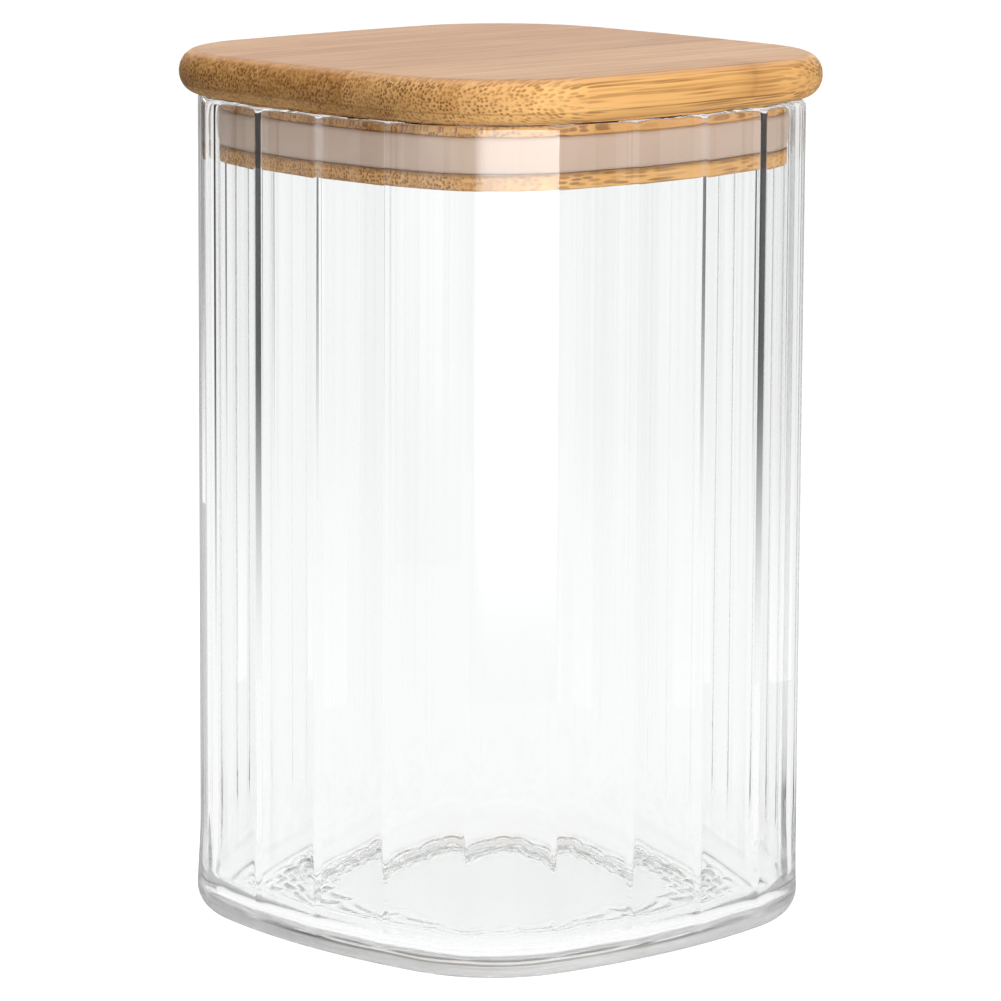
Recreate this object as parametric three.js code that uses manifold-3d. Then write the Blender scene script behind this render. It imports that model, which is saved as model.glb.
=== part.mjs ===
// A square fluted glass canister with a bamboo lid that lifts off.
// Millimetres, +Z up, origin on the table under the middle of the jar.
import * as THREE from "three";
import Module from "manifold-3d";
import { mergeVertices } from "three/addons/utils/BufferGeometryUtils.js";

const wasm = await Module();
wasm.setup();

// Glass jar
const jarWidth = 100;          // across the ridges, side to side
const jarHeight = 154.9;       // table to rim
const jarSideRadius = 135.6;   // bow of each side
const jarCornerRadius = 26.5;
const jarWall = 2.6;           // at a ridge
const fluteDepth = 1.2;
const fluteCount = 20;
const fluteTurn = 0.26;        // where the first ridge stands, in flutes from +X
const fluteGrowHeight = 22;    // flutes grow to full depth over this height
const heelRadius = 5.5;
const floorThickness = 3.6;
const innerHeelRadius = 5;

// Lid plate
const plateOverhang = 0.85;    // past the jar's ridges on each side
const plateThickness = 8;
const plateSideRadius = 458;
const plateCornerRadius = 27.9;
const plateEdgeDepth = 3.5;    // how far the rounded edge reaches in

// Lid plug and its seal
const plugDepth = 12.2;        // below the plate
const plugClearance = 1.1;     // plug to glass
const plugChamfer = 0.6;
const grooveTop = 2.7;         // below the plate
const grooveHeight = 6.5;
const grooveDepth = 3;
const sealClearance = 0.3;     // seal to glass, at its widest
const sealTaper = 1.1;         // how far the seal slopes in at its foot

// Bamboo lamination
const facePlyThickness = 6;
const corePlyThickness = 7.1;
const stripWidth = 25;         // the outermost strips take what is left
const outerPlyStrips = 5;      // face and plug: a strip runs down the middle
const corePlyStrips = 4;       // a joint runs down the middle, so the joints are staggered

// Gap left wherever two pieces touch
const touchGap = 0.3;

// How finely round shapes are cut
const stepsPerFlute = 6;
const lidSteps = 80;
const edgeSteps = 8;
const cornerSteps = 4;
const rimSteps = 2;

const plateWidth = jarWidth + 2 * plateOverhang;
const plateBottom = jarHeight + touchGap;
const lidTop = plateBottom + plateThickness;
const plugBottom = plateBottom - plugDepth;

const glass = { color: 0xeef3f2, roughness: 0.05, metalness: 0 };
const silicone = { color: 0xd8c8bd, roughness: 0.55, metalness: 0 };
const faceBamboo = { color: 0xd2a679, roughness: 0.5, metalness: 0 };
const coreBamboo = { color: 0xc09a68, roughness: 0.55, metalness: 0 };
const plugBamboo = { color: 0xd6a56c, roughness: 0.55, metalness: 0 };

// A square outline with bowed sides and round corners that meet without a kink.
// at(share, inset) gives the point that share of the way round, moved in by inset.
function bowedSquare(width, sideRadius, cornerRadius) {
  const sideCentre = width / 2 - sideRadius;
  const reach = sideRadius - cornerRadius;
  const root = Math.sqrt(2 * reach * reach - sideCentre * sideCentre);
  const cornerCentre = (sideCentre + root) / 2;
  const sideAngle = Math.atan2(cornerCentre, cornerCentre - sideCentre);
  const cornerAngle = Math.PI / 4 - sideAngle;
  const sideLength = sideAngle * sideRadius;
  const cornerLength = cornerAngle * cornerRadius;
  const eighth = sideLength + cornerLength;

  function at(share, inset) {
    const along = share * 8 * eighth;
    const quarter = Math.round(along / (2 * eighth));
    const rest = along - quarter * 2 * eighth;
    const side = rest < 0 ? -1 : 1;
    const walked = Math.abs(rest);
    const onSide = walked <= sideLength;
    const angle = onSide ? walked / sideRadius : sideAngle + (walked - sideLength) / cornerRadius;
    const radius = (onSide ? sideRadius : cornerRadius) - inset;
    const point = new THREE.Vector2(Math.cos(angle) * radius, Math.sin(angle) * radius);
    point.x += onSide ? sideCentre : cornerCentre;
    point.y += onSide ? 0 : cornerCentre;
    point.y *= side;
    return point.rotateAround(new THREE.Vector2(), quarter * Math.PI / 2);
  }
  return { half: width / 2, at };
}

// Turns a lathe profile of (half width, height) points into a solid that follows an
// outline instead of a circle. cut(share, height, inset) takes a little more off.
const straightInset = 12;      // past this the shape shrinks evenly to the middle
function followOutline(profile, outline, steps, cut) {
  const turned = new THREE.LatheGeometry(profile, steps);
  turned.deleteAttribute("normal");
  turned.deleteAttribute("uv");
  const spots = turned.getAttribute("position");
  const rows = profile.length;
  for (let i = 0; i < spots.count; i++) {
    const share = Math.floor(i / rows) % steps / steps;
    const row = i % rows;
    const height = profile[row].y;
    const inset = outline.half - profile[row].x;
    const spot = outline.at(share, Math.min(inset, straightInset) + cut(share, height, inset));
    if (inset > straightInset) {
      spot.multiplyScalar(profile[row].x / (outline.half - straightInset));
    }
    spots.setXYZ(i, spot.x, spot.y, height);
  }
  return mergeVertices(turned, 1e-4);
}

const noCut = () => 0;

function arc(centreX, centreY, radiusX, radiusY, from, to, steps) {
  const points = [];
  for (let i = 0; i <= steps; i++) {
    const angle = THREE.MathUtils.degToRad(from + (to - from) * i / steps);
    const x = centreX + radiusX * Math.cos(angle);
    points.push(new THREE.Vector2(x, centreY + radiusY * Math.sin(angle)));
  }
  return points;
}

function solidOf(geometry) {
  const corners = geometry.getAttribute("position").array;
  const mesh = new wasm.Mesh({
    numProp: 3,
    vertProperties: new Float32Array(corners),
    triVerts: new Uint32Array(geometry.getIndex().array),
  });
  return new wasm.Manifold(mesh);
}

function geometryOf(solid) {
  const mesh = solid.getMesh();
  const geometry = new THREE.BufferGeometry();
  geometry.setAttribute("position", new THREE.BufferAttribute(mesh.vertProperties, 3));
  geometry.setIndex(new THREE.BufferAttribute(mesh.triVerts, 1));
  return geometry;
}

const canister = new THREE.Group();

function addPart(name, geometry, finish) {
  geometry.computeVertexNormals();
  const part = new THREE.Mesh(geometry, new THREE.MeshStandardMaterial(finish));
  part.name = name;
  canister.add(part);
}

// Outlines
const jarOutline = bowedSquare(jarWidth, jarSideRadius, jarCornerRadius);
const mouthOutline = bowedSquare(
  jarWidth - 2 * jarWall, jarSideRadius - jarWall, jarCornerRadius - jarWall);
const plateOutline = bowedSquare(plateWidth, plateSideRadius, plateCornerRadius);

// Glass jar: one wall with concave flutes outside, smooth inside
function fluteCut(share, height, inset) {
  if (inset > jarWall / 2 || height < heelRadius / 2) {
    return 0;
  }
  const across = 2 * THREE.MathUtils.euclideanModulo(share * fluteCount - fluteTurn, 1) - 1;
  const grown = THREE.MathUtils.smoothstep(height, 0, fluteGrowHeight);
  return fluteDepth * grown * (1 - across * across);
}

function makeJar() {
  const rimRadius = (jarWall - fluteDepth) / 2;
  const rimBase = jarHeight - rimRadius;
  const half = jarOutline.half;
  const inner = half - jarWall;
  const bodyHeights = [fluteGrowHeight * 2 / 3, fluteGrowHeight, jarHeight / 2];
  const profile = [
    new THREE.Vector2(0, 0),
    ...arc(half - heelRadius, heelRadius, heelRadius, heelRadius, -90, 0, cornerSteps + 1),
    ...bodyHeights.map((height) => new THREE.Vector2(half, height)),
    ...arc(half - rimRadius, rimBase, rimRadius, rimRadius, 0, 90, rimSteps),
    ...arc(inner + rimRadius, rimBase, rimRadius, rimRadius, 90 + 90 / rimSteps, 180, rimSteps - 1),
    ...bodyHeights.toReversed().map((height) => new THREE.Vector2(inner, height)),
    ...arc(inner - innerHeelRadius, floorThickness + innerHeelRadius,
      innerHeelRadius, innerHeelRadius, 0, -90, cornerSteps),
    new THREE.Vector2(0, floorThickness),
  ];
  const shape = followOutline(profile, jarOutline, fluteCount * stepsPerFlute, fluteCut);
  addPart("glass_jar", shape, glass);
}
makeJar();

// Lid board as one block: plate with a rounded edge, and a grooved plug under it
function makeLidBoard() {
  const half = plateOutline.half;
  const middle = plateBottom + plateThickness / 2;
  const plate = followOutline([
    new THREE.Vector2(0, plateBottom),
    ...arc(half - plateEdgeDepth, middle, plateEdgeDepth, plateThickness / 2, -90, 90, edgeSteps),
    new THREE.Vector2(0, lidTop),
  ], plateOutline, lidSteps, noCut);

  const plugHalf = mouthOutline.half - plugClearance;
  const grooveUpper = plateBottom - grooveTop;
  const grooveLower = grooveUpper - grooveHeight;
  const plug = followOutline([
    new THREE.Vector2(0, plugBottom),
    new THREE.Vector2(plugHalf - plugChamfer, plugBottom),
    new THREE.Vector2(plugHalf, plugBottom + plugChamfer),
    new THREE.Vector2(plugHalf, grooveLower),
    new THREE.Vector2(plugHalf - grooveDepth, grooveLower),
    new THREE.Vector2(plugHalf - grooveDepth, grooveUpper),
    new THREE.Vector2(plugHalf, grooveUpper),
    new THREE.Vector2(plugHalf, plateBottom),
    new THREE.Vector2(plugHalf - grooveDepth, plateBottom + plateThickness / 2),
    new THREE.Vector2(0, plateBottom + plateThickness / 2),
  ], mouthOutline, lidSteps, noCut);
  return solidOf(plate).add(solidOf(plug));
}

// Saws one ply of the board into strips that lie side by side along X
function sawPly(board, name, bottom, top, count, finish) {
  const edges = [-plateWidth, plateWidth];
  for (let i = 1; i < count; i++) {
    edges.splice(i, 0, (i - count / 2) * stripWidth);
  }
  for (let i = 0; i < count; i++) {
    const width = edges[i + 1] - edges[i] - touchGap;
    const blank = new THREE.BoxGeometry(2 * plateWidth, width, top - bottom);
    blank.translate(0, (edges[i] + edges[i + 1]) / 2, (top + bottom) / 2);
    blank.deleteAttribute("normal");
    blank.deleteAttribute("uv");
    const strip = board.intersect(solidOf(mergeVertices(blank)));
    addPart(`${name}_${i + 1}`, geometryOf(strip), finish);
  }
}

function makeLid() {
  const board = makeLidBoard();
  const above = lidTop + plateThickness;
  const below = plugBottom - plateThickness;
  const upperLine = lidTop - facePlyThickness;
  const lowerLine = upperLine - corePlyThickness;
  const half = touchGap / 2;
  sawPly(board, "face_strip", upperLine + half, above, outerPlyStrips, faceBamboo);
  sawPly(board, "core_strip", lowerLine + half, upperLine - half, corePlyStrips, coreBamboo);
  sawPly(board, "plug_strip", below, lowerLine - half, outerPlyStrips, plugBamboo);
}
makeLid();

// Seal: a band that is widest near its top and slopes in at its foot
function makeSeal() {
  const top = plateBottom - grooveTop - touchGap;
  const bottom = top - grooveHeight + 2 * touchGap;
  const height = top - bottom;
  const outer = mouthOutline.half - sealClearance;
  const inner = mouthOutline.half - plugClearance - grooveDepth + touchGap;
  const shape = followOutline([
    new THREE.Vector2(inner, bottom),
    new THREE.Vector2(outer - sealTaper, bottom),
    new THREE.Vector2(outer - sealTaper / 3, bottom + height / 3),
    new THREE.Vector2(outer, top - height / 6),
    new THREE.Vector2(outer - sealTaper / 3, top),
    new THREE.Vector2(inner, top),
    new THREE.Vector2(inner, bottom),
  ], mouthOutline, lidSteps, noCut);
  addPart("silicone_seal", shape, silicone);
}
makeSeal();

export default canister;
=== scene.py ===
import math
import bmesh
import bpy
from mathutils import Matrix, Vector


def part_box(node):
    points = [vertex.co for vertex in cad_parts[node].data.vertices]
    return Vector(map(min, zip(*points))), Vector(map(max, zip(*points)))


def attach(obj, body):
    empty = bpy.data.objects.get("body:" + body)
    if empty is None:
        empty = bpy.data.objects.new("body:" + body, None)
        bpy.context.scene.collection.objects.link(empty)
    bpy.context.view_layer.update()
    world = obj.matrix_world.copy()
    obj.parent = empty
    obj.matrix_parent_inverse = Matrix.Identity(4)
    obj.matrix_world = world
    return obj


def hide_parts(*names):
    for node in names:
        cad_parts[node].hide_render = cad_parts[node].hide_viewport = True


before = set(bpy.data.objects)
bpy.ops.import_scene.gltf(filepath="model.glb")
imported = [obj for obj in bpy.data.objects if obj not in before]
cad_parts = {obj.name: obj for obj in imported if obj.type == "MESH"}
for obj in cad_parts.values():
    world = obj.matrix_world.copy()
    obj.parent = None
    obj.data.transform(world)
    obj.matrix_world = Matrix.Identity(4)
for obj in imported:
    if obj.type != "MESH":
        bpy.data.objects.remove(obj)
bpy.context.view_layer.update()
mm = 0.001

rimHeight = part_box("glass_jar")[1].z
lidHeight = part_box("face_strip_3")[1].z
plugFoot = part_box("plug_strip_3")[0].z
glueLines = {
    "upper": (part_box("face_strip_3")[0].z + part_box("core_strip_2")[1].z) / 2,
    "lower": (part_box("core_strip_2")[0].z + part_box("plug_strip_3")[1].z) / 2,
}


cameraSet = {
    "distance": 1079.3 * mm,
    "lens": 207.24,
    "sensor": 36,
    "reach": 100,
    "turn": 43.3,       # degrees round from the -Y side towards -X
    "tilt": 9.74,       # degrees down
    "roll": 0.29,
    "aimHeight": 78.67 * mm,
    "aimRight": 0.4 * mm,
}


def makeCamera():
    turn, tilt, roll = (math.radians(cameraSet[k]) for k in ("turn", "tilt", "roll"))
    right = Vector((math.cos(turn), -math.sin(turn), 0))
    level = Vector((math.sin(turn), math.cos(turn), 0))
    ahead = level * math.cos(tilt) - Vector((0, 0, math.sin(tilt)))
    up = right.cross(ahead)
    leanRight = right * math.cos(roll) + up * math.sin(roll)
    leanUp = up * math.cos(roll) - right * math.sin(roll)
    aim = right * cameraSet["aimRight"] + Vector((0, 0, cameraSet["aimHeight"]))
    data = bpy.data.cameras.new("camera")
    data.lens = cameraSet["lens"]
    data.sensor_width = cameraSet["sensor"]
    data.clip_end = cameraSet["reach"]
    camera = bpy.data.objects.new("camera", data)
    turned = Matrix((leanRight, leanUp, -ahead)).transposed().to_4x4()
    camera.matrix_world = Matrix.Translation(aim - ahead * cameraSet["distance"]) @ turned
    bpy.context.scene.collection.objects.link(camera)
    bpy.context.scene.camera = camera


makeCamera()
print("camera ready")


turnIn = 12 * mm  # rings further in than this shrink towards the middle


def bowedSquare(width, sideRadius, cornerRadius):
    # a square with bowed sides and round corners; at(share, inset) walks round it
    sideCentre = width / 2 - sideRadius
    reach = sideRadius - cornerRadius
    cornerCentre = (sideCentre + math.sqrt(2 * reach**2 - sideCentre**2)) / 2
    sideAngle = math.atan2(cornerCentre, cornerCentre - sideCentre)
    sideLength = sideAngle * sideRadius
    eighth = sideLength + (math.pi / 4 - sideAngle) * cornerRadius

    def at(share, inset):
        along = share * 8 * eighth
        quarter = round(along / (2 * eighth))
        rest = along - quarter * 2 * eighth
        walked = abs(rest)
        if walked <= sideLength:
            angle, radius, centre, lift = walked / sideRadius, sideRadius - inset, sideCentre, 0
        else:
            angle = sideAngle + (walked - sideLength) / cornerRadius
            radius, centre, lift = cornerRadius - inset, cornerCentre, cornerCentre
        x = centre + math.cos(angle) * radius
        y = (lift + math.sin(angle) * radius) * (-1 if rest < 0 else 1)
        turn = quarter * math.pi / 2
        return Vector((x * math.cos(turn) - y * math.sin(turn), x * math.sin(turn) + y * math.cos(turn)))

    return at


def arc(centre, middle, radiusAcross, radiusUp, start, end, steps):
    # (inset, height) points; an angle of 0 faces outwards
    points = []
    for i in range(steps + 1):
        angle = math.radians(start + (end - start) * i / steps)
        points.append((centre - radiusAcross * math.cos(angle), middle + radiusUp * math.sin(angle)))
    return points


def loft(name, rings, closed=False):
    # rings are lists of points, all the same length; the ends close to a point unless closed
    bm = bmesh.new()
    rows = [[bm.verts.new(p) for p in ring] for ring in rings]
    count = len(rows[0])
    pairs = list(zip(rows, rows[1:])) + ([(rows[-1], rows[0])] if closed else [])
    for lower, upper in pairs:
        for i in range(count):
            j = (i + 1) % count
            bm.faces.new((lower[i], lower[j], upper[j], upper[i]))
    if not closed:
        for row in (rows[0], rows[-1]):
            middle = sum((v.co for v in row), Vector()) / count
            hub = bm.verts.new(middle)
            for i in range(count):
                bm.faces.new((row[i], row[(i + 1) % count], hub))
    return meshOf(name, bm)


def meshOf(name, bm):
    bmesh.ops.recalc_face_normals(bm, faces=bm.faces)
    mesh = bpy.data.meshes.new(name)
    bm.to_mesh(mesh)
    bm.free()
    return mesh


def addPiece(name, mesh, material, body, nodes):
    piece = bpy.data.objects.new(name, mesh)
    bpy.context.scene.collection.objects.link(piece)
    mesh.materials.clear()
    mesh.materials.append(material)
    mesh.polygons.foreach_set("use_smooth", [True] * len(mesh.polygons))
    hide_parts(*nodes)
    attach(piece, body)
    return piece


class Shader:
    def __init__(self, name):
        self.material = bpy.data.materials.new(name)
        self.material.use_nodes = True
        self.nodes = self.material.node_tree.nodes
        self.links = self.material.node_tree.links
        self.surface = self.nodes["Principled BSDF"]

    def set(self, **values):
        for key, value in values.items():
            self.put(self.surface.inputs[key.replace("_", " ")], value)

    def put(self, socket, value):
        if isinstance(value, bpy.types.NodeSocket):
            self.links.new(value, socket)
        else:
            socket.default_value = value

    def add(self, kind, *values, **settings):
        # settings are the node's own properties or, failing that, its sockets
        node = self.nodes.new(kind)
        named = {k: v for k, v in settings.items() if not hasattr(node, k)}
        for key, value in settings.items():
            if hasattr(node, key):
                setattr(node, key, value)
        for socket, value in zip(node.inputs, values):
            self.put(socket, value)
        for key, value in named.items():
            self.put(node.inputs[key], value)
        return node

    def math(self, operation, *values, clamp=False):
        return self.add("ShaderNodeMath", *values, operation=operation, use_clamp=clamp).outputs[0]

    def vector(self, operation, *values):
        return self.add("ShaderNodeVectorMath", *values, operation=operation).outputs[0]

    def split(self, vector):
        return self.add("ShaderNodeSeparateXYZ", vector).outputs

    def span(self, value, low, high, outLow=0.0, outHigh=1.0, smooth=True):
        kind = "SMOOTHSTEP" if smooth else "LINEAR"
        node = self.add("ShaderNodeMapRange", value, low, high, outLow, outHigh, interpolation_type=kind)
        return node.outputs[0]

    def mix(self, share, first, second):
        # the sockets of the node's colour version
        node = self.add("ShaderNodeMix", data_type="RGBA")
        for socket, value in ((0, share), (6, first), (7, second)):
            self.put(node.inputs[socket], value)
        return node.outputs[2]

    def noise(self, vector, scale, detail=2.0, roughness=0.5):
        kind = "ShaderNodeTexNoise"
        return self.add(kind, Vector=vector, Scale=scale, Detail=detail, Roughness=roughness).outputs

    def grain(self, vector, scale, detail=2.0, roughness=0.5):
        # noise stretched by a scale along each axis, in waves per metre
        return self.noise(self.place(vector, scale), 1.0, detail, roughness)

    def bump(self, strength, distance, height):
        return self.add("ShaderNodeBump", Strength=strength, Distance=distance, Height=height).outputs[0]

    def place(self, vector, scale=(1, 1, 1), location=(0, 0, 0)):
        return self.add("ShaderNodeMapping", vector, location, (0, 0, 0), scale).outputs[0]

    def where(self, kind="Object"):
        return self.add("ShaderNodeTexCoord").outputs[kind]

    def facing(self, kind="Normal"):
        return self.split(self.add("ShaderNodeNewGeometry").outputs[kind])


jar = {
    "width": 100 * mm,
    "sideRadius": 135.6 * mm,
    "cornerRadius": 26.5 * mm,
    "wall": 2.6 * mm,
    "flutes": 20,
    "fluteTurn": 0.26,
    "fluteDepth": 1.2 * mm,
    "ridgeSoftness": 0.05 * mm,
    "innerFollow": 0.2,      # how much of a flute shows inside
    "growFrom": 1 * mm,      # the flutes start here
    "growHeight": 22 * mm,   # and grow over this height
    "heel": 5.5 * mm,
    "floor": 3.6 * mm,
    "innerHeel": 6 * mm,
    "rimRound": 1.1 * mm,
    "ripple": 0.38 * mm,     # rings the mould leaves round the floor
    "rippleInset": 17 * mm,
    "rippleReach": 8.5 * mm,
    "ripplePitch": 3.6 * mm,
    "rippleArch": 3.4,       # how far a flute bends a ring, in radians
    "rippleSide": 0.8,       # where round the floor the rings are strongest, in radians
    "rippleLeast": 0.15,     # how strong they are on the opposite side
    "columns": 20,           # per flute
    "arcSteps": 12,
    "innerArcSteps": 16,
    # where the mesh has its rings: under the base, up outside, down inside, over the floor
    "underInsets": (40, 30, 20, 12),
    "outerHeights": (7, 9, 11, 13, 15, 17, 19, 22, 30, 50, 80, 110, 140, 148, 151),
    "innerHeights": (152, 145, 120, 90, 60, 35, 20),
    "floorStep": 0.35 * mm,
    "floorSteps": 49,
    "floorInsets": (29, 34, 42),
}

glass = {
    "colour": (0.985, 0.992, 0.99, 1),
    "ior": 1.47,
    "drawn": (1, 1, 0.12),   # waves are drawn out up the jar
    "drawnScale": 60,
    "bump": 0.015,
    "bumpDepth": 0.5 * mm,
    "cloudScale": 90,
    "cloudDetail": 3.0,
    "haze": (0.45, 0.8, 0.0, 0.02),
    # the foot is rubbed a little milky, where it faces down and is low
    "wornFacing": (-0.02, -0.3),
    "wornHeight": (6 * mm, 3 * mm),
    "wornPatches": (0.3, 0.7, 0.8, 1.0),
    "wornClear": 0.6,
    "wornRough": 0.15,
}


def fluteCut(across):
    plain = jar["fluteDepth"] * (1 - across**2)
    soft = jar["ridgeSoftness"]
    return math.sqrt(plain**2 + soft**2) - soft


def jarProfile():
    # (inset, height, share of the flute) from under the base, up outside, over the rim, down inside
    wall, heel, inner, floor = jar["wall"], jar["heel"], jar["innerHeel"], jar["floor"]
    follow = jar["innerFollow"]
    rows = [(inset * mm, 0, 0) for inset in jar["underInsets"]]
    outerArc = arc(heel, heel, heel, heel, -90, 0, jar["arcSteps"])
    rows += [(inset, height, None) for inset, height in outerArc]
    rows += [(0, height * mm, None) for height in jar["outerHeights"]]
    for i in range(jar["arcSteps"] + 1):
        angle = math.pi * i / jar["arcSteps"]
        across = (1 - math.cos(angle)) / 2
        height = rimHeight - jar["rimRound"] * (1 - math.sin(angle))
        rows.append((wall * across, height, 1 - (1 - follow) * across))
    rows += [(wall, height * mm, follow) for height in jar["innerHeights"]]
    innerArc = arc(wall + inner, floor + inner, inner, inner, 0, -90, jar["innerArcSteps"])
    rows += [(inset, height, None) for inset, height in innerArc]
    rows += [(wall + inner + (i + 1) * jar["floorStep"], floor, 0) for i in range(jar["floorSteps"])]
    rows += [(inset * mm, floor, 0) for inset in jar["floorInsets"]]
    return rows


def ripple(share, inset, cut):
    # how high a ring stands at one place on the floor
    away = abs(inset - jar["rippleInset"]) / jar["rippleReach"]
    if away >= 1:
        return 0
    fade = math.cos(away * math.pi / 2) ** 2
    phase = 2 * math.pi * inset / jar["ripplePitch"] + jar["rippleArch"] * cut / jar["fluteDepth"]
    strongSide = (1 + math.cos(share * 2 * math.pi - jar["rippleSide"])) / 2
    strength = jar["rippleLeast"] + (1 - jar["rippleLeast"]) * strongSide
    return jar["ripple"] * fade * strength * math.sin(phase)


def makeJarMesh():
    outline = bowedSquare(jar["width"], jar["sideRadius"], jar["cornerRadius"])
    columns = []
    for flute in range(jar["flutes"]):
        for i in range(jar["columns"]):
            across = math.sin((2 * i / jar["columns"] - 1) * math.pi / 2)
            share = (flute + jar["fluteTurn"] + (across + 1) / 2) / jar["flutes"]
            columns.append((share, fluteCut(across)))
    half = jar["width"] / 2
    rings = []
    inside = False
    for inset, height, follow in jarProfile():
        inside = inside or follow == jar["innerFollow"]
        if follow is None:
            grown = min(1, max(0, height - jar["growFrom"]) / jar["growHeight"])
            grown = grown * grown * (3 - 2 * grown)
            follow = grown * (jar["innerFollow"] if inside else 1)
        ring = []
        for share, cut in columns:
            spot = outline(share, min(inset, turnIn) + cut * follow)
            if inset > turnIn:
                spot *= (half - inset) / (half - turnIn)
            lift = ripple(share, inset, cut) if inside else 0
            ring.append((spot.x, spot.y, height + lift))
        rings.append(ring)
    return loft("glass", rings)


def makeGlass():
    s = Shader("clearGlass")
    where = s.where()
    drawn = s.noise(s.place(where, glass["drawn"]), glass["drawnScale"])[0]
    cloud = s.noise(where, glass["cloudScale"], glass["cloudDetail"])[0]
    low = s.span(s.split(where)[2], *glass["wornHeight"])
    foot = s.math("MULTIPLY", s.span(s.facing("True Normal")[2], *glass["wornFacing"]), low)
    worn = s.math("MULTIPLY", foot, s.span(cloud, *glass["wornPatches"]))
    haze = s.span(cloud, *glass["haze"])
    s.set(
        Base_Color=glass["colour"], IOR=glass["ior"],
        Normal=s.bump(glass["bump"], glass["bumpDepth"], drawn),
        Transmission_Weight=s.span(worn, 0.0, 1.0, 1.0, glass["wornClear"], smooth=False),
        Roughness=s.math("ADD", haze, s.math("MULTIPLY", worn, glass["wornRough"])))
    return s.material


glassJar = addPiece("glassJar", makeJarMesh(), makeGlass(), "jar", ["glass_jar"])
glassJar.visible_shadow = False  # lets the lamps reach the seal and the plug inside
print("jar blown")


lid = {
    "width": 101.7 * mm,
    "thickness": 8 * mm,
    "sideRadius": 458 * mm,
    "cornerRadius": 27.9 * mm,
    "edgeDepth": 3.5 * mm,
    "plugClearance": 1.1 * mm,
    "grooveTop": 2.7 * mm,
    "grooveHeight": 6.5 * mm,
    "grooveDepth": 3 * mm,
    "grooveNick": 0.25 * mm,
    "plugRound": 0.6 * mm,
    "columns": 224,
    "edgeSteps": 24,
    "plugSteps": 6,
    "insets": (10, 20, 35),   # rings across the flat faces
    "rimInset": 5,
    "sharpAngle": 40,
}
plateBottom = lidHeight - lid["thickness"]
grooveHigh = plateBottom - lid["grooveTop"]
grooveLow = grooveHigh - lid["grooveHeight"]
grooveBack = lid["plugClearance"] + lid["grooveDepth"]

plateOutline = bowedSquare(lid["width"], lid["sideRadius"], lid["cornerRadius"])
mouthOutline = bowedSquare(
    jar["width"] - 2 * jar["wall"], jar["sideRadius"] - jar["wall"], jar["cornerRadius"] - jar["wall"])


def ringsOf(outline, width, rows):
    half = width / 2
    rings = []
    for inset, height in rows:
        shrink = (half - inset) / (half - turnIn) if inset > turnIn else 1
        ring = []
        for i in range(lid["columns"]):
            spot = outline(i / lid["columns"], min(inset, turnIn)) * shrink
            ring.append((spot.x, spot.y, height))
        rings.append(ring)
    return rings


def makeLidBlock():
    edge, thick = lid["edgeDepth"], lid["thickness"]
    clear, soft, nick = lid["plugClearance"], lid["plugRound"], lid["grooveNick"]
    insets = [inset * mm for inset in lid["insets"]]
    plateRows = [(inset, lidHeight) for inset in reversed(insets)] + [(lid["rimInset"] * mm, lidHeight)]
    plateRows += arc(edge, plateBottom + thick / 2, edge, thick / 2, 90, -90, lid["edgeSteps"])
    plugRows = [(clear, plateBottom), (clear, grooveHigh + nick), (clear + nick, grooveHigh)]
    plugRows += [(grooveBack, grooveHigh), (grooveBack, grooveLow)]
    plugRows += [(clear + nick, grooveLow), (clear, grooveLow - nick)]
    plugRows += arc(clear + soft, plugFoot + soft, soft, soft, 0, -90, lid["plugSteps"])
    plugRows += [(inset, plugFoot) for inset in insets]
    rings = ringsOf(plateOutline, lid["width"], plateRows)
    rings += ringsOf(mouthOutline, jar["width"] - 2 * jar["wall"], plugRows)
    return loft("lidBlock", rings)


def sawOff(block, name, low, high):
    # keeps what lies between two corners, in Y and Z
    bm = bmesh.new()
    bm.from_mesh(block)
    cuts = [((0, low[0], 0), (0, -1, 0)), ((0, high[0], 0), (0, 1, 0)),
            ((0, 0, low[1]), (0, 0, -1)), ((0, 0, high[1]), (0, 0, 1))]
    for spot, away in cuts:
        whole = bm.verts[:] + bm.edges[:] + bm.faces[:]
        bmesh.ops.bisect_plane(bm, geom=whole, plane_co=spot, plane_no=away, clear_outer=True)
        rim = [e for e in bm.edges if e.is_boundary]
        if rim:
            bmesh.ops.holes_fill(bm, edges=rim, sides=0)
    return meshOf(name, bm)


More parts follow.
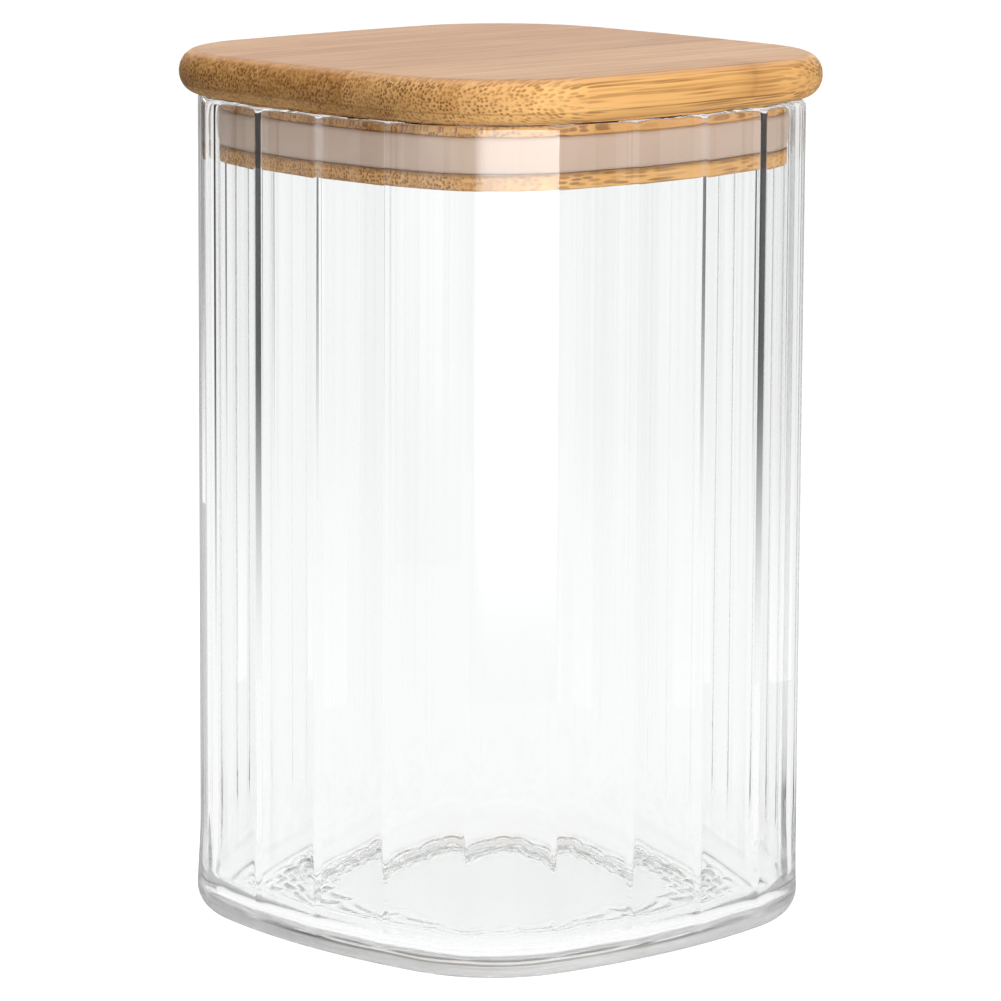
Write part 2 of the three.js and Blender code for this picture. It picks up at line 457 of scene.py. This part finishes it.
bamboo = {
    "stripWidth": 25 * mm,
    "shift": {"face": 0.5, "core": 0.0, "plug": 0.5},  # where a ply's joints fall, in strips
    # one tone per strip, from the -Y side: 0 pale to 1 dark
    "tones": {
        "face": (0.25, 0.42, 0.88, 0.7, 0.5),
        "core": (0.25, 0.55, 0.3, 0.4),
        "plug": (0.0, 0.2, 0.3, 0.15, 0.3),
    },
    "toneSpread": 0.35,
    "seedStep": 7,
    "stretch": (0.37, 0.11, 0),      # how far apart the strips' stretches of grain lie
    "knots": {"face1": 17 * mm},     # strips with a culm node, and where along X
    "noKnot": 400 * mm,

    "pith": (0.80, 0.455, 0.17, 1),
    "pithDark": (0.56, 0.265, 0.07, 1),
    "bundle": (0.15, 0.05, 0.01, 1),
    # the glue colour is also painted as the shadow under the seal, at the groove's lower edge
    "glue": (0.16, 0.075, 0.025, 1),
    # painted light: the top faces' even, muted colour, standing in for the washed look grazing light
    # gives the top
    "topLightTint": (0.56, 0.30, 0.16, 1),
    "endShade": (0.24, 0.12, 0.035, 1),
    "topLightShare": 0.5,
    "endShare": 0.25,
    "roughness": (0.52, 0.64),
    "gloss": 0.2,
    "ior": 1.5,

    # waves per metre along and across the grain
    "wanderScale": (22, 14, 14),
    "wander": (0, 3.0 * mm, 1.5 * mm),
    "bandScale": (7, 330, 330),
    "bandDetail": 4.0,
    "bandRough": 0.6,
    "cloudScale": (20, 45, 45),
    "cloudDetail": 3.0,
    "patchScale": (60, 260, 260),
    "bandShare": 0.6,

    "fibreGap": 0.56 * mm,
    "fibreFlat": 0.85,
    "fibreSpread": 0.85,
    "fibreSize": 0.27,
    "toneGain": 0.16,        # dark strips have thicker bundles
    "barkGain": 0.14,        # and so has the side near the bark
    "onTopLeft": 0.5,        # how much of the bundles the top shows
    "bump": 0.35,
    "bumpDepth": 0.12 * mm,
    "bandRelief": 0.4,
    "bundleRelief": 0.8,
    "knotBend": 12 * mm,

    # masks: from, to and, where they aren't 0 and 1, their values there
    "endFacing": (0.35, 0.85),
    "topFacing": (0.55, 0.97),
    "bundleEdge": (0.10, -0.12),
    "bundleLuck": (0.0, 0.6, 0.35, 1.0),
    "bundlePatch": (0.36, 0.6, 0.55, 1.0),
    "bundleShare": (0.0, 1.0, 0.62, 0.9),
    "shadeFrom": (0.34, 0.66),
    "knotShadow": (8 * mm, 0.0, 0.0, 0.16),
    "knotLine": (1.2 * mm, 0.2 * mm, 0.0, 0.12),
    "sideJoint": (0.007, 0.001, 0.0, 0.22),
    "plyJoint": (0.3 * mm, 0.05 * mm, 0.0, 0.3),
    # painted shadow under the seal, round the groove's lower edge
    "grooveShadow": (1.1 * mm, 0.1 * mm, 0.0, 0.55),
}


def fibres(s, local, z, faces, ply, tone, onTop):
    # bundles are dots across the grain and streaks along it, crowded near the bark
    wander = s.grain(local, bamboo["wanderScale"])[1]
    wander = s.vector("SUBTRACT", wander, (0.5, 0.5, 0.5))
    wander = s.vector("MULTIPLY", wander, bamboo["wander"])
    _, across, deep = s.split(s.vector("ADD", local, wander))
    deep = s.math("MULTIPLY", deep, bamboo["fibreFlat"])
    flat = s.add("ShaderNodeCombineXYZ", across, deep).outputs[0]
    cells = s.add(
        "ShaderNodeTexVoronoi", Vector=flat, Scale=1 / bamboo["fibreGap"],
        Randomness=bamboo["fibreSpread"], voronoi_dimensions="2D")
    nearBark = s.span(z, *faces, smooth=False)
    if ply != "face":
        nearBark = s.math("SUBTRACT", 1.0, nearBark)
    plain = bamboo["fibreSize"] + bamboo["toneGain"] * tone
    size = s.math("ADD", plain, s.math("MULTIPLY", nearBark, bamboo["barkGain"]))
    bundle = s.span(s.math("SUBTRACT", cells.outputs["Distance"], size), *bamboo["bundleEdge"])
    luck = s.add("ShaderNodeSeparateColor", cells.outputs["Color"]).outputs[0]
    patches = s.grain(local, bamboo["patchScale"])[0]
    fades = (
        s.span(luck, *bamboo["bundleLuck"]),
        s.span(patches, *bamboo["bundlePatch"]),
        s.span(onTop, 0.0, 1.0, 1.0, bamboo["onTopLeft"]),
    )
    for fade in fades:
        bundle = s.math("MULTIPLY", bundle, fade)
    return bundle


def makeBamboo(label, ply, faces, seed, tone, knotAt):
    # faces: the heights of the ply's underside and top
    s = Shader(f"{label}Bamboo")
    where = s.where()
    x, y, z = s.split(where)
    facing = s.facing()
    endGrain = s.span(s.math("ABSOLUTE", facing[0]), *bamboo["endFacing"])
    onTop = s.span(facing[2], *bamboo["topFacing"])
    local = s.place(where, location=[step * seed for step in bamboo["stretch"]])
    bundle = fibres(s, local, z, faces, ply, tone, onTop)

    # soft tones along the grain
    band = s.grain(local, bamboo["bandScale"], bamboo["bandDetail"], bamboo["bandRough"])[0]
    cloud = s.grain(local, bamboo["cloudScale"], bamboo["cloudDetail"])[0]
    bandPart = s.math("MULTIPLY", band, bamboo["bandShare"])
    shade = s.math("ADD", bandPart, s.math("MULTIPLY", cloud, 1 - bamboo["bandShare"]))
    spread = bamboo["toneSpread"]
    shade = s.span(shade, *bamboo["shadeFrom"], tone - spread, tone + spread)
    colour = s.mix(s.math("ADD", shade, 0.0, clamp=True), bamboo["pith"], bamboo["pithDark"])
    # painted light: the top faces are mixed halfway to one even colour, for the washed look grazing
    # light gives them
    colour = s.mix(s.math("MULTIPLY", onTop, bamboo["topLightShare"]), colour, bamboo["topLightTint"])
    bundleShare = s.math("MULTIPLY", bundle, s.span(endGrain, *bamboo["bundleShare"]))
    colour = s.mix(bundleShare, colour, bamboo["bundle"])
    colour = s.mix(s.math("MULTIPLY", endGrain, bamboo["endShare"]), colour, bamboo["endShade"])

    # a culm node crosses the strip
    bend = s.math("MULTIPLY", s.math("SUBTRACT", cloud, 0.5), bamboo["knotBend"])
    knot = s.math("ABSOLUTE", s.math("ADD", s.math("SUBTRACT", x, knotAt), bend))
    colour = s.mix(s.span(knot, *bamboo["knotShadow"]), colour, bamboo["bundle"])
    colour = s.mix(s.span(knot, *bamboo["knotLine"]), colour, bamboo["glue"])

    # painted shadow: the wood is darkened round the groove's lower edge, where the seal shades it
    fromGroove = s.math("ABSOLUTE", s.math("SUBTRACT", z, grooveLow))
    colour = s.mix(s.span(fromGroove, *bamboo["grooveShadow"]), colour, bamboo["glue"])

    # glue lines at the strip's sides and at the ply's faces
    lane = s.math("ADD", s.math("DIVIDE", y, bamboo["stripWidth"]), bamboo["shift"][ply])
    lane = s.math("FRACT", lane)
    toSide = s.math("MINIMUM", lane, s.math("SUBTRACT", 1.0, lane))
    fromLow, fromHigh = (s.math("ABSOLUTE", s.math("SUBTRACT", z, face)) for face in faces)
    plyJoint = s.span(s.math("MINIMUM", fromLow, fromHigh), *bamboo["plyJoint"])
    glue = s.math("MAXIMUM", s.span(toSide, *bamboo["sideJoint"]), plyJoint)
    colour = s.mix(glue, colour, bamboo["glue"])

    raised = s.math("MULTIPLY", band, bamboo["bandRelief"])
    relief = s.math("SUBTRACT", raised, s.math("MULTIPLY", bundle, bamboo["bundleRelief"]))
    relief = s.math("SUBTRACT", relief, glue)
    s.set(
        Base_Color=colour, IOR=bamboo["ior"], Specular_IOR_Level=bamboo["gloss"],
        Normal=s.bump(bamboo["bump"], bamboo["bumpDepth"], relief),
        Roughness=s.span(bundle, 0.0, 1.0, *bamboo["roughness"], smooth=False))
    return s.material


def makeLid():
    block = makeLidBlock()
    far = lid["width"]
    width = bamboo["stripWidth"]
    upper, lower = glueLines["upper"], glueLines["lower"]
    plies = {"face": (upper, lidHeight), "core": (lower, upper), "plug": (plugFoot, lower)}
    for number, (ply, faces) in enumerate(plies.items()):
        tones = bamboo["tones"][ply]
        count = len(tones)
        edges = [-far] + [(i - count / 2) * width for i in range(1, count)] + [far]
        # the outer plies keep the block's own face, so their cuts there stay clear of it
        bottom = faces[0] - far if ply == "plug" else faces[0]
        top = faces[1] + far if ply == "face" else faces[1]
        for i, tone in enumerate(tones):
            label = f"{ply}{i + 1}"
            seed = 1 + i + bamboo["seedStep"] * number
            knotAt = bamboo["knots"].get(label, bamboo["noKnot"])
            material = makeBamboo(label, ply, faces, seed, tone, knotAt)
            strip = sawOff(block, label, (edges[i], bottom), (edges[i + 1], top))
            piece = addPiece(
                f"{ply}Strip{i + 1}", strip, material, "lid", [f"{ply}_strip_{i + 1}"])
            piece.data.set_sharp_from_angle(angle=math.radians(lid["sharpAngle"]))


makeLid()
print("lid laminated")


seal = {
    "clearance": 0.25 * mm,
    "taper": 1.1 * mm,
    "slackUp": 0.05 * mm,    # room in the groove above and below
    "slackBack": 0.1 * mm,
    # from the foot up: share of the taper, further in (mm), share of the height down
    "section": (
        (1, 0.3, 1), (1, 0, 0.97), (0.85, 0, 0.9), (0.35, 0, 0.7), (0.12, 0, 0.5),
        (0, 0, 0.3), (0, 0, 0.12), (0, 0.12, 0.05), (0, 0.4, 0),
    ),
    "sharpAngle": 50,
    "colour": (0.54, 0.405, 0.32, 1),
    "shade": (0.47, 0.34, 0.255, 1),
    "shadeFrom": (0.3, 0.7, 0.0, 0.25),
    "cloudScale": 120,
    "cloudDetail": 3.0,
    "fineScale": 1400,
    "fineFrom": (0.3, 0.7),
    "roughness": (0.42, 0.52),
    "bump": 0.12,
    "bumpDepth": 0.1 * mm,
    "ior": 1.41,
    "milk": 0.35,
    "milkReach": (4 * mm, 3 * mm, 2.5 * mm),
}


def makeSealMesh():
    top = grooveHigh - seal["slackUp"]
    height = lid["grooveHeight"] - 2 * seal["slackUp"]
    back = grooveBack - seal["slackBack"]
    rows = [(back, top - height)]
    for lean, further, down in seal["section"]:
        rows.append((seal["clearance"] + seal["taper"] * lean + further * mm, top - height * down))
    rows.append((back, top))
    return loft("seal", ringsOf(mouthOutline, jar["width"] - 2 * jar["wall"], rows), closed=True)


def makeSilicone():
    s = Shader("milkySilicone")
    where = s.where()
    cloud = s.noise(where, seal["cloudScale"], seal["cloudDetail"])[0]
    fine = s.noise(where, seal["fineScale"])[0]
    s.set(
        Base_Color=s.mix(s.span(cloud, *seal["shadeFrom"]), seal["colour"], seal["shade"]),
        Normal=s.bump(seal["bump"], seal["bumpDepth"], fine), IOR=seal["ior"],
        Subsurface_Weight=seal["milk"], Subsurface_Radius=seal["milkReach"], Subsurface_Scale=1.0,
        Roughness=s.span(fine, *seal["fineFrom"], *seal["roughness"]))
    return s.material


sealPiece = addPiece("sealBand", makeSealMesh(), makeSilicone(), "lid", ["silicone_seal"])
sealPiece.data.set_sharp_from_angle(angle=math.radians(seal["sharpAngle"]))
print("seal fitted")


studio = {
    "view": 46.7,          # degrees from +X, the way the camera looks
    "floorSize": 12.0,
    "floorHeight": -0.4 * mm,
    "paper": (0.15, 0.15, 0.15, 1),
    "paperPale": (0.16, 0.16, 0.16, 1),
    "paperScale": 3.0,
    "paperFrom": (0.3, 0.7),
    "dull": 0.9,
    "white": (1, 1, 1, 1),
    "floorGlow": {"onThings": 0.3, "inGloss": 0.2, "throughGlass": 0.84, "seen": 1.0},
    "airGlow": {"onThings": 0.22, "inGloss": 0.1, "throughGlass": 0.8, "seen": 1.0},
    "bounces": 24,
}


def glowBySight(tree, glow):
    # strengths for what lights dull things, what gloss shows, what glass shows and what is seen
    path = tree.nodes.new("ShaderNodeLightPath")
    rays = {"Is Glossy Ray": "inGloss", "Is Transmission Ray": "throughGlass", "Is Camera Ray": "seen"}
    level = glow["onThings"]
    for ray, key in rays.items():
        blend = tree.nodes.new("ShaderNodeMix")
        tree.links.new(path.outputs[ray], blend.inputs[0])
        if isinstance(level, bpy.types.NodeSocket):
            tree.links.new(level, blend.inputs[2])
        else:
            blend.inputs[2].default_value = level
        blend.inputs[3].default_value = glow[key]
        level = blend.outputs[0]
    return level


def around(turn, away):
    # a spot on the floor, turned from the way the camera looks, in degrees to its left
    angle = math.radians(studio["view"] + turn)
    return Vector((away * math.cos(angle), away * math.sin(angle), 0))


def hide(thing, rays):
    for ray in rays:
        setattr(thing, f"visible_{ray}", False)


def addStage(name, corners, material, unseen=()):
    mesh = bpy.data.meshes.new(name)
    mesh.from_pydata(corners, [], [(0, 1, 2, 3)])
    mesh.materials.append(material)
    panel = bpy.data.objects.new(name, mesh)
    bpy.context.scene.collection.objects.link(panel)
    hide(panel, unseen)


def makeFloor():
    half, low = studio["floorSize"] / 2, studio["floorHeight"]
    s = Shader("paleFloor")
    paper = s.span(s.noise(s.where(), studio["paperScale"])[0], *studio["paperFrom"])
    s.set(
        Base_Color=s.mix(paper, studio["paper"], studio["paperPale"]),
        Roughness=studio["dull"], Specular_IOR_Level=0.0, Emission_Color=studio["white"],
        Emission_Strength=glowBySight(s.material.node_tree, studio["floorGlow"]))
    corners = [(-half, -half, low), (half, -half, low), (half, half, low), (-half, half, low)]
    addStage("floor", corners, s.material)


flags = {
    # from and to, in degrees to the left of the way the camera looks, and how far away
    "cards": ((19.5, 23, 0.47), (62, 73, 0.27), (-31, -38, 0.42), (-61, -73, 0.27)),
    "height": 0.3,
    "colour": (0.02, 0.02, 0.02, 1),
    "glow": (0.0, 0.08, 0.95, 0.02),   # fades into the floor at its foot
}


def makeFlags():
    # dark cards standing round the jar that only the glass sees, so that its ridges draw themselves
    s = Shader("flagCard")
    s.set(
        Base_Color=flags["colour"], Roughness=studio["dull"], Specular_IOR_Level=0.0,
        Emission_Color=studio["white"], Emission_Strength=s.span(s.split(s.where())[2], *flags["glow"]))
    rise = Vector((0, 0, flags["height"]))
    for number, (start, end, away) in enumerate(flags["cards"]):
        for side in (0, 180):
            first, last = around(start + side, away), around(end + side, away)
            corners = [first, last, last + rise, first + rise]
            addStage(f"flag{number}at{side}", corners, s.material, ("camera", "diffuse", "shadow"))


glints = {
    # degrees to the right of the camera, how far away, width and glow
    "cards": ((17, 0.3, 0.1, 9.8), (-60, 0.45, 0.2, 1.5)),
    "height": 0.3,
    "fade": (0.0, 0.33),       # up from the foot, as a share of the height
    "sideFade": (0.5, 0.32),   # out from the middle, as a share of the width
    "colour": (0, 0, 0, 1),
}


def makeGlints():
    # soft-edged bright cards that only gloss sees
    rise = Vector((0, 0, glints["height"]))
    for number, (turn, away, width, glow) in enumerate(glints["cards"]):
        s = Shader(f"glintCard{number}")
        across, _, up = s.split(s.where("Generated"))
        side = s.span(s.math("ABSOLUTE", s.math("SUBTRACT", across, 0.5)), *glints["sideFade"])
        strength = s.math("MULTIPLY", s.math("MULTIPLY", side, s.span(up, *glints["fade"])), glow)
        s.set(
            Base_Color=glints["colour"], Roughness=studio["dull"], Specular_IOR_Level=0.0,
            Emission_Color=studio["white"], Emission_Strength=strength)
        foot = around(180 + turn, away)
        half = foot.cross(Vector((0, 0, 1))).normalized() * width / 2
        corners = [foot - half, foot + half, foot + half + rise, foot - half + rise]
        unseen = ("camera", "diffuse", "shadow", "transmission")
        addStage(f"glint{number}", corners, s.material, unseen)


lamps = {
    # turn: degrees to the right of the camera; glow: its radiance beside a white of 1
    "keyRight": {
        "turn": 28, "away": 0.6, "height": 0.2, "aim": 0.2, "width": 0.55, "tall": 0.4,
        "glow": 5.15, "unseen": ("camera", "glossy", "transmission"),
    },
    "backFill": {
        "turn": 180, "away": 1.4, "height": 0.7, "aim": 0.7, "width": 1.4, "tall": 1.0,
        "glow": 2.2, "unseen": ("camera", "transmission"),
    },
    "overhead": {
        "turn": -90, "away": 0.2, "height": 1.3, "aim": 0.1, "width": 0.9, "tall": 0.9,
        "glow": 4.8, "unseen": ("camera", "transmission"),
    },
}


def makeLamps():
    for name, box in lamps.items():
        data = bpy.data.lights.new(name, "AREA")
        data.shape = "RECTANGLE"
        data.size = box["width"]
        data.size_y = box["tall"]
        data.energy = box["glow"] * math.pi * box["width"] * box["tall"]
        lamp = bpy.data.objects.new(name, data)
        lamp.location = around(180 + box["turn"], box["away"]) + Vector((0, 0, box["height"]))
        aim = Vector((0, 0, box["aim"])) - lamp.location
        lamp.rotation_mode = "QUATERNION"
        lamp.rotation_quaternion = aim.to_track_quat("-Z", "Y")
        hide(lamp, box["unseen"])
        bpy.context.scene.collection.objects.link(lamp)


def makeWorld():
    world = bpy.data.worlds.new("studioAir")
    world.use_nodes = True
    tree = world.node_tree
    back = tree.nodes["Background"]
    back.inputs["Color"].default_value = studio["white"]
    tree.links.new(glowBySight(tree, studio["airGlow"]), back.inputs["Strength"])
    bpy.context.scene.world = world


makeFloor()
makeFlags()
makeGlints()
makeLamps()
makeWorld()

scene = bpy.context.scene
scene.view_settings.view_transform = "Standard"
scene.cycles.transmission_bounces = studio["bounces"]
scene.cycles.glossy_bounces = studio["bounces"]
scene.cycles.max_bounces = studio["bounces"]
print("studio lit")
